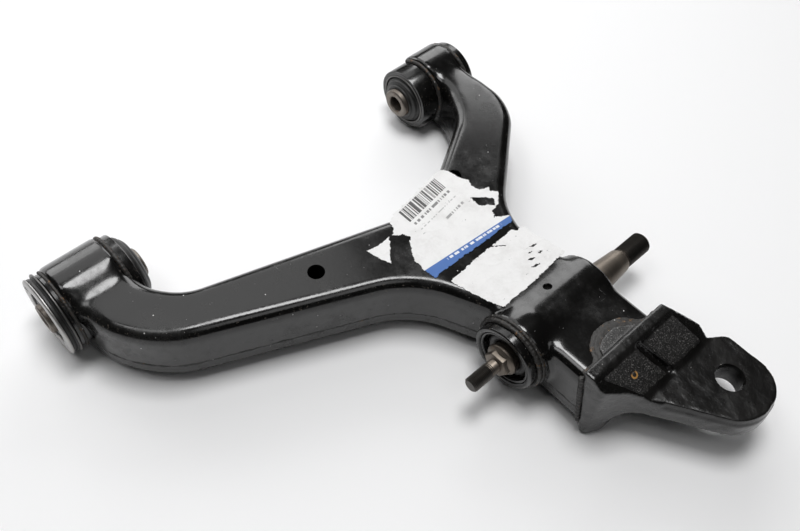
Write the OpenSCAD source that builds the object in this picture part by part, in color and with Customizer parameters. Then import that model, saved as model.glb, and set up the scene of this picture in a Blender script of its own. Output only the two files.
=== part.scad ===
// Front suspension lower control arm.
// Two pressed steel shells form a hollow Y-shaped arm. Tube eyes at the ends of
// both legs carry the rubber pivot bushes, a third tube across the neck carries the
// damper bush and its through-stud, and a forged bracket at the tip takes the ball joint.
// Origin: centre of the large pivot bush. +Y: pivot axis. +X: outboard. +Z: up.

/* [Arm] */
// Distance between the centres of the two pivot bushes
pivot_span = 347; // [346:0.5:348]
// Height of the flat top of the arm above the pivot axis
arm_top = 25; // [24.5:0.1:25.5]
// Depth of the flat underside of the arm below the pivot axis
arm_bottom = 30; // [29.5:0.1:30.5]
// Depth of the weld seam between the shells below the pivot axis
seam_depth = 13.5; // [11:0.5:15]
// Thickness of the pressed sheet
sheet_t = 3.2; // [2.8:0.1:3.6]
// Outer radius of the pressed edge between top and side walls
edge_r = 9; // [7:0.5:10]

/* [Pivot bushes] */
// Radius of the mounting bolt bore in both pivot bushes
bolt_bore_r = 7.1; // [6.5:0.1:8]
// Outer radius of the large pivot eye
large_eye_r = 30.6; // [30:0.1:31.5]
// Wall of the large pivot eye
large_eye_wall = 3; // [2.6:0.1:3.8]
// Outer radius of the small pivot eye
small_eye_r = 27; // [26.5:0.1:27.5]
// Wall of the small pivot eye
small_eye_wall = 3.5; // [3:0.1:3.8]
// Length of each inner sleeve
sleeve_len = 81.4; // [80:0.2:84]

/* [Damper stud] */
// Distance of the damper stud from the pivot axis
stud_x = 243.6; // [243:0.1:244]
// Outer radius of the damper eye
damper_eye_r = 27; // [26.5:0.1:27.5]
// Radius of the thread at the thin end of the stud
thin_thread_r = 6; // [5.5:0.1:6.2]
// Radius of the thread at the thick end of the stud
thick_thread_r = 9; // [8:0.1:9.3]

/* [Ball joint bracket] */
// Ball joint hole centre, outboard of the pivot axis
hole_x = 364.9; // [364:0.1:366]
// Ball joint hole centre, along the pivot axis
hole_y = 294.4; // [294:0.1:295]
// Radius of the ball joint hole
hole_r = 10.8; // [10:0.1:12]
// Thickness of the bracket's tongue
tongue_t = 21; // [19:0.5:22]

/* [Hidden] */
$fn = 64;

big = 500;              // longer than the arm, for cutting tools
seam_gap = 0.6;         // gap between the shell edges under the seam weld
seam_z = -seam_depth;
run_fit = 0.1;          // radial clearance of a part that turns in rubber
bond = 0.02;            // joint line between parts pressed or welded together
cut_fit = 0.12;         // play of the notches in the sheet round the tube eyes

// Ends of the tubes along Y
large_eye_y = [-30, 29];
small_eye_y = [pivot_span - 31, pivot_span + 31];
damper_eye_y = [188, 285.5];

// Ends of the pressed saddles that lie over the pivot eyes
large_saddle_y = [-25, 20.5];
small_saddle_y = [336.5, 369];
small_cradle_y = [318.5, 369];    // the lower shell's cradle is wider
large_saddle_r = 33.2;
small_saddle_r = 30.4;

// Collar drawn up from the walls round the damper eye
collar_r = 31;
collar_y = [198.5, 214];

// The arm's end leans with the inner face of the bracket's flange
arm_end_x = 298;
end_lean = 10.7;
function flange_x(z) = arm_end_x + (arm_top - z) * tan(end_lean);

// Corners of the arm's plan, anticlockwise, each as [x, y, bend radius]. The ends
// run past the eyes and the bracket, where they are cut off.
arm_corners = [
    [-40, -34, 2], [78.5, -13, 80], [162, 175, 70], [228, 206, 80],
    [330, 206, 2], [330, 285, 2], [240, 285, 40], [171, 262, 60], [82, 370, 50],
    [-40, 370, 2], [-40, 336, 2], [53, 336, 52], [116, 231, 45], [54, 25, 42], [-40, 25, 2]
];
corner_steps = 6;
edge_steps = 3;

// Corners of the bracket's plan, with the tongue round the ball joint hole
tongue_end_r = 30;
bracket_corners = [
    [296, 205.5, 1], [315, 205.5, 7], [330, 231, 30],
    [402, 276, tongue_end_r], [396, 324.4, tongue_end_r - 3],
    [342, 324.4, 9], [333, 311, 9], [296, 309, 4]
];
tongue_low = 10.4;      // depth of the tongue's underside
tongue_draft = 2.5;     // how far the tongue's upper half stands back

// Corners of the lobe that laps over the top of the arm
lobe_corners = [[303, 227, 0], [303, 269.5, 0], [294, 265, 8], [286, 253, 10], [286.3, 240, 9], [291.5, 229, 6]];
lobe_weld_corners = [
    [303, 208, 0], [303, 291, 0], [297, 289, 4], [295.5, 275, 10], [283, 264, 16], [278.6, 250, 14],
    [279, 238, 12], [286, 226, 12], [295.5, 222, 7], [294, 208, 2]
];
lobe_t = 3.5;

// Corners of the paper labels, flat on the arm's top
label_t = 0.25;
barcode_corners = [[125, 194], [169, 195], [170, 271], [162, 270], [144, 283], [97, 265], [112, 199]];
plain_corners = [[181, 194], [222, 206], [219, 279], [177, 271]];
scrap_corners = [[120, 166], [140, 171], [121, 187]];

// ---- geometry helpers ----

function unit(v) = v / norm(v);
function left_of(v) = [-v.y, v.x];
function turned(v, a) = [v.x * cos(a) - v.y * sin(a), v.x * sin(a) + v.y * cos(a)];

// Points of one corner's bend after every edge has moved inwards by inset
function bend(corners, i, inset, steps) =
    let (
        n = len(corners),
        before = corners[(i + n - 1) % n],
        here = corners[i],
        after = corners[(i + 1) % n],
        u = unit([here.x - before.x, here.y - before.y]),
        v = unit([after.x - here.x, after.y - here.y]),
        side = cross(u, v) > 0 ? 1 : -1,
        sweep = acos(u * v),
        corner = [here.x, here.y] + inset * (left_of(u) + left_of(v)) / (1 + u * v),
        r = max(0.5, here[2] - side * inset),
        centre = corner - u * r * tan(sweep / 2) + side * r * left_of(u)
    )
    [for (k = [0 : steps]) centre - side * r * turned(left_of(u), side * sweep * k / steps)];

function outline(corners, inset = 0, steps = corner_steps) =
    [for (i = [0 : len(corners) - 1]) each bend(corners, i, inset, steps)];

// A solid through the same outline at several levels, each as [inset, z], lowest first
module lofted(corners, levels) {
    rings = [for (l = levels) [for (p = outline(corners, l[0])) [p.x, p.y, l[1]]]];
    m = len(rings[0]);
    last = m * (len(rings) - 1);
    polyhedron(
        points = [for (ring = rings) each ring],
        faces = concat(
            [[for (i = [0 : m - 1]) i]],
            [for (k = [0 : len(rings) - 2]) for (i = [0 : m - 1])
                let (j = (i + 1) % m) [k * m + i, (k + 1) * m + i, (k + 1) * m + j, k * m + j]],
            [[for (i = [m - 1 : -1 : 0]) last + i]]
        ),
        convexity = 8
    );
}

// Levels of the arm's form from a base up to a top with a rounded edge. wall moves
// the whole surface inwards, and inset moves the side walls alone.
function form_levels(base, top, wall = 0, inset = 0) =
    let (r = edge_r - wall)
    concat(
        [[wall + inset, base]],
        [for (k = [0 : edge_steps])
            let (a = 90 * k / edge_steps)
            [wall + inset + r * (1 - cos(a)), top - wall - r * (1 - sin(a))]]
    );

// A pressed tray, open downwards: its inner face from the top down, then its outer
// face from the rim up
module pressed_tray(base, top, inset = 0) {
    inner = form_levels(base, top, sheet_t, inset);
    outer = form_levels(base, top, 0, inset);
    lofted(arm_corners, concat([for (i = [len(inner) - 1 : -1 : 0]) inner[i]], outer));
}

// A round bar along Y between two stations, centred at x
module bar(r, span, x = 0) {
    translate([x, span[0], 0]) rotate([-90, 0, 0]) cylinder(r = r, h = span[1] - span[0]);
}

module pipe(r_out, r_in, span, x = 0) {
    difference() {
        bar(r_out, span, x);
        bar(r_in, [span[0] - 1, span[1] + 1], x);
    }
}

// A body of revolution about the Y axis from [radius, y] points
module turned_part(profile, x = 0) {
    translate([x, 0, 0]) rotate([-90, 0, 0]) rotate_extrude() polygon(profile);
}

// A weld bead on a circle about the Y axis, over part of a turn measured from +X towards +Z
module bead_arc(ring_r, bead_r, y, from, sweep, x = 0) {
    translate([x, y, 0]) rotate([90, from, 0]) mirror([0, 0, 1])
        rotate_extrude(angle = sweep) translate([ring_r, 0]) circle(r = bead_r, $fn = 20);
}

// Everything outboard of the arm's slanted end
module past_arm_end() {
    translate([arm_end_x, -big / 2, arm_top]) rotate([0, -end_lean, 0])
        translate([0, 0, -big / 2]) cube([big, 2 * big, big]);
}

// Everything inboard of the pivot axis, where the pressed walls stop at the eyes
module past_eyes() {
    translate([-big, -big / 2, -big / 2]) cube([big, 2 * big, big]);
}

module eye_spaces() {
    bar(large_eye_r + cut_fit, [large_eye_y[0] - 20, large_eye_y[1] + 20]);
    bar(small_eye_r + cut_fit, [small_eye_y[0] - 10, small_eye_y[1] + 30]);
    bar(damper_eye_r + cut_fit, [180, 300], stud_x);
}

// ---- pressed shells ----

module upper_channel() {
    difference() {
        pressed_tray(seam_z + seam_gap / 2, arm_top);
        past_eyes();
        past_arm_end();
    }
}

// The pressed saddle over one pivot eye, cut off at a station inboard
module saddle(outer_r, span, inboard, low) {
    intersection() {
        bar(outer_r, span);
        translate([inboard, span[0], low]) cube([-inboard + outer_r * 0.8, span[1] - span[0], 2 * outer_r]);
    }
}

module damper_swage() {
    intersection() {
        bar(damper_eye_r + sheet_t, [206.5, 284.5], stud_x);
        translate([stud_x - 30, 200, 10]) cube([60, 90, 30]);
    }
}

module upper_shell() color([0.13, 0.13, 0.14]) {
    difference() {
        union() {
            upper_channel();
            saddle(large_saddle_r, large_saddle_y, -27.7, -2);
            saddle(small_saddle_r, small_saddle_y, -21.5, seam_z + seam_gap);
            damper_swage();
            intersection() {
                bar(collar_r, collar_y, stud_x);
                translate([0, 0, seam_z + seam_gap / 2]) linear_extrude(big) square(big);
            }
        }
        eye_spaces();
        translate([110, 125, 0]) cylinder(r = 6.6, h = big);
        translate([109, 269, 0]) cylinder(r = 6, h = big);
        translate([232, 243, 15]) cylinder(r = 3.5, h = 30);
    }
}

module lower_shell() color([0.13, 0.13, 0.14]) {
    difference() {
        union() {
            difference() {
                mirror([0, 0, 1]) pressed_tray(seam_depth + seam_gap / 2, arm_bottom, 0.8);
                past_eyes();
                past_arm_end();
            }
            mirror([0, 0, 1]) saddle(small_saddle_r, small_cradle_y, -14, seam_depth + seam_gap);
            intersection() {
                bar(collar_r - 1, collar_y, stud_x);
                translate([0, 0, seam_z - seam_gap / 2 - big]) linear_extrude(big) square(big);
            }
        }
        eye_spaces();
        translate([110, 125, -big / 2]) cylinder(r = 6.6, h = big / 2);
    }
}

module seam_weld() color([0.2, 0.2, 0.2]) {
    difference() {
        translate([0, 0, seam_z - 1.5]) linear_extrude(3) difference() {
            polygon(outline(arm_corners, -0.6));
            polygon(outline(arm_corners, 1.6));
        }
        past_eyes();
        past_arm_end();
        eye_spaces();
    }
}

// ---- tube eyes ----

module large_pivot_eye() color([0.15, 0.15, 0.15])
    pipe(large_eye_r, large_eye_r - large_eye_wall, large_eye_y);

module small_pivot_eye() color([0.15, 0.15, 0.15])
    pipe(small_eye_r, small_eye_r - small_eye_wall, small_eye_y);

module damper_eye() color([0.15, 0.15, 0.15])
    pipe(damper_eye_r, damper_eye_r - 4.2, damper_eye_y, stud_x);

// ---- large pivot bush ----

large_can_r = large_eye_r - large_eye_wall - bond;
large_can_in = large_can_r - 2;
large_core_r = 12;
large_face_y = -38.1;

module large_bush_outer_sleeve() color([0.55, 0.54, 0.52])
    turned_part([
        [large_can_in, -31.5], [33.1, -31.5], [33.1, -30.1], [large_can_r, -30.1],
        [large_can_r, 30], [large_can_in, 30]
    ]);

module large_bush_rubber() color([0.08, 0.08, 0.08])
    turned_part([
        [large_core_r + run_fit, -37], [19.6, -37], [20.6, -36.2], [31.2, -36.2],
        [31.2, -31.6], [large_can_in - bond, -31.6], [large_can_in - bond, 30], [25.2, 33],
        [22.5, 36], [17, 38], [large_core_r + run_fit, 38]
    ]);

module large_bush_end_ring() color([0.5, 0.5, 0.48])
    difference() {
        turned_part([[20.8, large_face_y], [30.6, large_face_y], [31.85, -37], [31.85, -36.25], [20.8, -36.25]]);
        rotate([0, -150, 0]) translate([23, -40, -2.2]) cube([5, 10, 4.4]);
    }

module large_bush_inner_sleeve() color([0.45, 0.44, 0.42])
    pipe(large_core_r, bolt_bore_r, [-sleeve_len / 2, sleeve_len / 2]);

// ---- small pivot bush ----

small_can_r = small_eye_r - small_eye_wall - bond;
small_can_in = small_can_r - 1.6;
small_core_r = 12.9;

module small_bush_outer_sleeve() color([0.4, 0.4, 0.39])
    pipe(small_can_r, small_can_in, [small_eye_y[0] - 0.4, small_eye_y[1] + 0.4]);

module small_bush_rubber() color([0.08, 0.08, 0.08]) {
    half = [
        [small_core_r + run_fit, 36.5], [15.2, 36.2], [17.6, 34], [19.2, 32.6],
        [20.4, 31.6], [small_can_in - bond, 29]
    ];
    turned_part(concat(
        [for (p = half) [p.x, pivot_span - p.y]],
        [for (i = [len(half) - 1 : -1 : 0]) [half[i].x, pivot_span + half[i].y]]
    ));
}

module small_bush_inner_sleeve() color([0.45, 0.44, 0.42])
    pipe(small_core_r, bolt_bore_r, [pivot_span - sleeve_len / 2, pivot_span + sleeve_len / 2]);

// ---- damper bush and stud ----

damper_can_r = damper_eye_r - 4.2 - bond;
damper_can_in = damper_can_r - 2.2;
stud_body_r = 12.2;
stud_y = [154.5, 352.3];
hex_y = 180.3;          // near face of the hex that holds the stud while its nut is tightened
hex_h = 6;
hex_r = 19 / 2 / cos(30);
hex_flange_r = 13.2;

module damper_bush_outer_sleeve() color([0.3, 0.3, 0.3])
    pipe(damper_can_r, damper_can_in, [damper_eye_y[0] + 0.8, damper_eye_y[1] - 0.8], stud_x);

module damper_bush_rubber() color([0.08, 0.08, 0.08])
    turned_part([
        [stud_body_r + run_fit, 193], [17, 192], [damper_can_in - bond, 196],
        [damper_can_in - bond, 279], [17, 283], [stud_body_r + run_fit, 282]
    ], stud_x);

module damper_stud() color([0.42, 0.38, 0.34])
    union() {
        turned_part([
            [0, stud_y[0]], [thin_thread_r - 1.6, stud_y[0]], [thin_thread_r, stud_y[0] + 1.6],
            [thin_thread_r, hex_y + 1], [hex_flange_r - 1, hex_y + hex_h - 1],
            [hex_flange_r, hex_y + hex_h], [hex_flange_r, hex_y + hex_h + 3],
            [stud_body_r, hex_y + hex_h + 4], [stud_body_r, 284], [13, 285], [9.9, 322],
            [thick_thread_r, 325], [thick_thread_r, stud_y[1] - 2],
            [thick_thread_r - 2, stud_y[1]], [0, stud_y[1]]
        ], stud_x);
        translate([stud_x, hex_y, 0]) rotate([-90, 0, 0]) cylinder(r = hex_r, h = hex_h + 1, $fn = 6);
    }

// ---- ball joint bracket ----

// Section of the flange, the ridge and the wedge behind the tongue, as [x, z]
flange_section = [
    [flange_x(31), 31], [flange_x(33) + 1.5, 33], [305.5, 33], [308, 31],
    [334, tongue_t - tongue_low + 2], [337, tongue_t - tongue_low], [346, tongue_t - tongue_low - 2],
    [346, -tongue_low], [338, -tongue_low], [330, -13], [325, -18], [322, -25], [322.5, -33],
    [321, -37], [317, -38.5], [311, -36], [flange_x(-31), -31]
];

module bracket_wedge() {
    difference() {
        translate([0, 309, 0]) rotate([90, 0, 0]) linear_extrude(309 - 205.5) polygon(flange_section);
        // groove down the slope, between the two rough faces
        translate([309.5, 250.2, 27.6]) rotate([0, 35.6, 27]) translate([-3, 0, 0]) cube([60, 5.2, 20]);
        // the far flank slopes away from the ridge
        translate([290, 289.5, 33]) rotate([-52, 0, 12]) cube([70, 40, 40]);
    }
}

module ball_joint_bracket() color([0.1, 0.1, 0.1])
    difference() {
        union() {
            intersection() {
                bracket_wedge();
                translate([0, 0, -60]) linear_extrude(120) polygon(outline(bracket_corners));
            }
            difference() {
                union() {
                    translate([0, 0, -tongue_low]) linear_extrude(tongue_t - 6)
                        polygon(outline(bracket_corners));
                    translate([0, 0, -tongue_low]) linear_extrude(tongue_t)
                        polygon(outline(bracket_corners, tongue_draft));
                }
                translate([250, 150, -60]) cube([84, 200, 120]);
            }
            translate([0, 0, arm_top + bond]) linear_extrude(lobe_t) polygon(outline(lobe_corners));
        }
        translate([hole_x, hole_y, -60]) cylinder(r = hole_r, h = 120);
    }

module bracket_lobe_weld() color([0.28, 0.25, 0.2])
    difference() {
        translate([0, 0, arm_top + bond]) linear_extrude(2.6) difference() {
            polygon(outline(lobe_weld_corners));
            polygon(outline(lobe_corners));
        }
        translate([298, 150, 0]) cube([50, 200, 60]);
        translate([270, 289, 0]) cube([50, 50, 60]);
    }

// The bead round the arm's end where it butts against the flange
module bracket_weld() color([0.28, 0.25, 0.2])
    difference() {
        translate([arm_end_x, 0, arm_top]) rotate([0, -end_lean, 0]) {
            for (y = [205.6, 285.4])
                translate([-0.5, y, -(arm_top + arm_bottom) - 1]) cylinder(r = 2.2, h = arm_top + arm_bottom, $fn = 20);
            translate([-0.5, 205.6, -(arm_top + arm_bottom) - 1.5]) rotate([-90, 0, 0])
                cylinder(r = 2.2, h = 79.8, $fn = 20);
        }
        past_arm_end();
    }

// ---- weld beads at the eyes ----

module large_eye_weld() color([0.24, 0.22, 0.2])
    union() {
        bead_arc(large_eye_r + 0.8, 1.9, large_saddle_y[0] - 0.6, -30, 170);
        bead_arc(large_eye_r + 0.8, 1.9, large_saddle_y[1] + 0.6, -20, 160);
    }

module small_eye_weld() color([0.3, 0.24, 0.16])
    union() {
        bead_arc(small_eye_r + 0.8, 1.8, small_saddle_y[0] - 0.6, -60, 195);
        bead_arc(small_eye_r + 0.8, 1.8, small_saddle_y[1] + 0.6, -60, 195);
    }

module damper_eye_weld() color([0.2, 0.2, 0.2])
    bead_arc(damper_eye_r + 0.9, 2.1, collar_y[0] - 1.2, 0, 360, stud_x);

// ---- labels ----

// A sheet of paper on the flat of the arm, inside the rounded edges
module paper(corners)
    translate([0, 0, arm_top + bond]) linear_extrude(label_t) intersection() {
        polygon(corners);
        polygon(outline(arm_corners, edge_r));
    }

module barcode_label() color([0.93, 0.93, 0.92]) paper(barcode_corners);

module plain_label() color([0.93, 0.93, 0.92]) paper(plain_corners);

module label_scrap() color([0.75, 0.8, 0.85]) paper(scrap_corners);

upper_shell();
lower_shell();
seam_weld();
large_pivot_eye();
small_pivot_eye();
damper_eye();
large_bush_outer_sleeve();
large_bush_rubber();
large_bush_end_ring();
large_bush_inner_sleeve();
small_bush_outer_sleeve();
small_bush_rubber();
small_bush_inner_sleeve();
damper_bush_outer_sleeve();
damper_bush_rubber();
damper_stud();
ball_joint_bracket();
bracket_weld();
bracket_lobe_weld();
large_eye_weld();
small_eye_weld();
damper_eye_weld();
barcode_label();
plain_label();
label_scrap();
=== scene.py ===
# %% [markdown]
# # A front lower control arm
#
# The arm is two pressed steel shells welded into a hollow Y. Tubes across its ends
# hold rubber bushes, a third tube holds the damper's stud, and a forged bracket at
# the tip takes the ball joint. This lesson builds every piece by hand with Blender's
# modelling tools, round a frame that says where each one belongs. All lengths in the
# code are millimetres until they reach Blender, which works in metres.

# %% Load the frame
import math

import bmesh
import bpy
import numpy as np
from mathutils import Matrix, Vector, noise


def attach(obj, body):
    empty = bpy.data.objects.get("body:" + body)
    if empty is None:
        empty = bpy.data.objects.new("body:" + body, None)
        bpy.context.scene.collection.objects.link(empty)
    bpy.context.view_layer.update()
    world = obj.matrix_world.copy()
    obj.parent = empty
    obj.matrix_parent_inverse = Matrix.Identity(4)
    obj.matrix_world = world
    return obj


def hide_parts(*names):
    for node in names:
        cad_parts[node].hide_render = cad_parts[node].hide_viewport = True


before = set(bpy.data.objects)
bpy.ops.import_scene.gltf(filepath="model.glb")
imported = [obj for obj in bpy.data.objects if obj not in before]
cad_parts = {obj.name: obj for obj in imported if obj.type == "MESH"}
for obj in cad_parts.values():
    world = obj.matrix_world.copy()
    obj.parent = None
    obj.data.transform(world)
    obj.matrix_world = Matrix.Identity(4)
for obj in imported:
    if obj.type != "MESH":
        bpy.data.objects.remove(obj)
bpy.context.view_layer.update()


MM = 0.001

# %% [markdown]
# ## Camera
#
# The view comes first, because it decides how much detail each piece needs. The
# camera stands above the near side and looks down along the arm with a normal lens.
# Its place and its three directions are set as numbers, which is surer than aiming it
# at a target.

# %% Camera
VIEW_POINT = Vector((406.26, -98.59, 547.38)) * MM
VIEW_RIGHT = Vector((0.67849, 0.73312, 0.04671))
VIEW_UP = Vector((-0.61383, 0.53086, 0.58430))
VIEW_BACK = Vector((0.40357, -0.42511, 0.81019))

lens = bpy.data.cameras.new("camera")
lens.sensor_width = 36
lens.lens = 39.15
lens.clip_start = 0.01
camera = bpy.data.objects.new("camera", lens)
camera.matrix_world = Matrix((VIEW_RIGHT, VIEW_UP, VIEW_BACK)).transposed().to_4x4()
camera.location = VIEW_POINT
bpy.context.scene.collection.objects.link(camera)
bpy.context.scene.camera = camera
bpy.context.scene.view_settings.view_transform = "Standard"
print("camera at", tuple(round(c, 3) for c in camera.location))

# %% [markdown]
# ## Small tools
#
# The operators work on whatever is selected, so every step starts by clearing the
# selection. These helpers do that, choose parts of a mesh by their place, and apply a
# modifier as soon as it is set.

# %% Helpers for selection and modifiers


def deselect():
    if bpy.context.mode != "OBJECT":
        bpy.ops.object.mode_set(mode="OBJECT")
    bpy.ops.object.select_all(action="DESELECT")


def only(piece):
    deselect()
    piece.select_set(True)
    bpy.context.view_layer.objects.active = piece


def edit(piece):
    only(piece)
    bpy.ops.object.mode_set(mode="EDIT")


def leave():
    bpy.ops.object.mode_set(mode="OBJECT")


def choose(piece, kind, test):
    """Selects the vertices, edges or faces whose middle, in mm, passes the test."""
    bpy.ops.mesh.select_mode(type=kind)
    bpy.ops.mesh.select_all(action="DESELECT")
    work = bmesh.from_edit_mesh(piece.data)
    parts = {"VERT": work.verts, "EDGE": work.edges, "FACE": work.faces}[kind]
    chosen = 0
    for part in parts:
        corners = [part] if kind == "VERT" else part.verts
        middle = sum((v.co for v in corners), Vector()) / (len(corners) * MM)
        if test(middle):
            part.select_set(True)
            chosen += 1
    bmesh.update_edit_mesh(piece.data)
    return chosen


def modify(piece, kind, **settings):
    only(piece)
    modifier = piece.modifiers.new(kind.lower(), kind)
    for key, value in settings.items():
        setattr(modifier, key, value)
    bpy.ops.object.modifier_apply(modifier=modifier.name)
    return piece


def combine(piece, tool, operation, solver="EXACT"):
    modify(piece, "BOOLEAN", object=tool, operation=operation, solver=solver)
    bpy.data.objects.remove(tool, do_unlink=True)
    return piece


def joined(pieces):
    only(pieces[0])
    for piece in pieces[1:]:
        piece.select_set(True)
    bpy.ops.object.join()
    return pieces[0]


def copied(piece):
    only(piece)
    bpy.ops.object.duplicate()
    return bpy.context.object


def outward(piece):
    edit(piece)
    bpy.ops.mesh.select_all(action="SELECT")
    bpy.ops.mesh.remove_doubles(threshold=0.01 * MM)
    bpy.ops.mesh.normals_make_consistent(inside=False)
    leave()
    return piece


def cut(piece, point, normal, fill=True):
    """Cuts away everything on the side that the normal points to."""
    edit(piece)
    bpy.ops.mesh.select_all(action="SELECT")
    bpy.ops.mesh.bisect(
        plane_co=Vector(point) * MM, plane_no=normal, clear_outer=True, use_fill=fill,
        threshold=0.0001 * MM,
    )
    leave()
    return piece


def moved(piece, shift):
    """Moves every vertex by shift(place, normal), both in mm."""
    mesh = piece.data
    normals = [vertex.normal.copy() for vertex in mesh.vertices]
    for vertex, normal in zip(mesh.vertices, normals):
        vertex.co += Vector(shift(vertex.co / MM, normal)) * MM
    mesh.update()
    return piece


def ready(piece, name, node, finish, smooth=32, body="arm"):
    piece.name = name
    piece.data.name = name
    only(piece)
    bpy.ops.object.shade_smooth_by_angle(angle=math.radians(smooth))
    piece.data.materials.clear()
    piece.data.materials.append(finish.material)
    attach(piece, body)
    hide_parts(node)
    print(name, len(piece.data.polygons), "faces on", body)
    return piece


# %% [markdown]
# ## Shader expressions
#
# Finishes are written as sums. A socket is wrapped in a small class, so that adding
# or multiplying two of them makes the Math nodes. Colours go through Mix nodes.

# %% Shader expressions


class Sock:
    def __init__(self, net, socket):
        self.net = net
        self.socket = socket

    def maths(self, operation, left, right):
        return self.net.add("ShaderNodeMath", {"operation": operation}, {0: left, 1: right})

    def __add__(self, other):
        return self.maths("ADD", self, other)

    def __sub__(self, other):
        return self.maths("SUBTRACT", self, other)

    def __mul__(self, other):
        return self.maths("MULTIPLY", self, other)

    def __truediv__(self, other):
        return self.maths("DIVIDE", self, other)

    def __radd__(self, other):
        return self.maths("ADD", other, self)

    def __rsub__(self, other):
        return self.maths("SUBTRACT", other, self)

    def __rmul__(self, other):
        return self.maths("MULTIPLY", other, self)

    def __rtruediv__(self, other):
        return self.maths("DIVIDE", other, self)

    def step(self, low, high):
        """0 at or below low, 1 at or above high, smooth between; low may be the larger."""
        turned_round = low > high
        ends = (high, low) if turned_round else (low, high)
        out = self.net.add(
            "ShaderNodeMapRange", {"interpolation_type": "SMOOTHSTEP"},
            {"Value": self, "From Min": ends[0], "From Max": ends[1]},
        )
        return 1.0 - out if turned_round else out


class Finish:
    """One material, and the nodes that it is made of."""

    def __init__(self, name):
        self.material = bpy.data.materials.new(name)
        self.material.use_nodes = True
        self.tree = self.material.node_tree
        self.shader = self.tree.nodes["Principled BSDF"]
        self.place = self.add("ShaderNodeTexCoord", out="Object")

    def add(self, kind, settings=None, inputs=None, out=0):
        node = self.tree.nodes.new(kind)
        for key, value in (settings or {}).items():
            setattr(node, key, value)
        self.feed(node, inputs or {})
        return Sock(self, node.outputs[out])

    def feed(self, node, inputs):
        for key, value in inputs.items():
            if isinstance(value, Sock):
                self.tree.links.new(value.socket, node.inputs[key])
            else:
                node.inputs[key].default_value = value

    def set(self, **constants):
        for key, value in constants.items():
            self.shader.inputs[key.replace("_", " ")].default_value = value

    def drive(self, inputs):
        self.feed(self.shader, inputs)

    def noise(self, size, detail=3.0, rough=0.55, place=None, stretch=None, seed=0.0):
        """Cloudy 0 to 1 pattern whose features are about size mm across."""
        where = place or self.place
        if stretch or seed:
            where = self.add(
                "ShaderNodeMapping", None,
                {"Vector": where, "Scale": stretch or (1, 1, 1), "Location": (seed, seed * 0.7, seed * 1.3)},
            )
        return self.add(
            "ShaderNodeTexNoise", None,
            {"Vector": where, "Scale": 1.0 / (size * MM), "Detail": detail, "Roughness": rough},
        )

    def spots(self, spacing, radius, chance, seed=0.0):
        """Round dots: 1 inside a dot; chance is the share of cells that have one."""
        where = self.add("ShaderNodeMapping", None, {"Vector": self.place, "Location": (seed, seed, seed)})
        settings = {"feature": "F1"}
        inputs = {"Vector": where, "Scale": 1.0 / (spacing * MM)}
        near = self.add("ShaderNodeTexVoronoi", settings, inputs, "Distance")
        dice = self.add("ShaderNodeTexVoronoi", settings, inputs, "Color")
        red = self.add("ShaderNodeSeparateColor", None, {"Color": dice}, "Red")
        size = radius / spacing
        return near.step(size, size * 0.6) * red.step(1.0 - chance, 1.0 - chance * 0.9)

    def axes(self):
        """The place as three numbers in mm."""
        split = self.tree.nodes.new("ShaderNodeSeparateXYZ")
        self.tree.links.new(self.place.socket, split.inputs[0])
        return [Sock(self, split.outputs[i]) * (1 / MM) for i in range(3)]

    def blend(self, mask, first, second):
        node = self.tree.nodes.new("ShaderNodeMix")
        node.data_type = "RGBA"
        for index, value in ((0, mask), (6, first), (7, second)):
            if isinstance(value, Sock):
                self.tree.links.new(value.socket, node.inputs[index])
            else:
                node.inputs[index].default_value = value
        return Sock(self, node.outputs[2])

    def bump(self, height, depth, under=None):
        """Turns a 0 to 1 height into a normal; depth is its full height in mm."""
        inputs = {"Height": height, "Distance": depth * MM, "Strength": 1.0}
        if under:
            inputs["Normal"] = under
        return self.add("ShaderNodeBump", None, inputs)


def grey(level, warm=0.0):
    return (level * (1 + warm), level, level * (1 - warm), 1.0)


print("shader helpers ready")

# %% [markdown]
# ## Black paint
#
# The shells and tube eyes wear a thin black electrocoat: satin, a little brown where
# it is thin, and full of small faults from shop handling. It is a dark base with a
# broken film of dust, scuffed patches, pale specks, fine scratches, and bare glints
# on the edges. Orange peel and small pits go into the bump.

# %% Black paint


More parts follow.
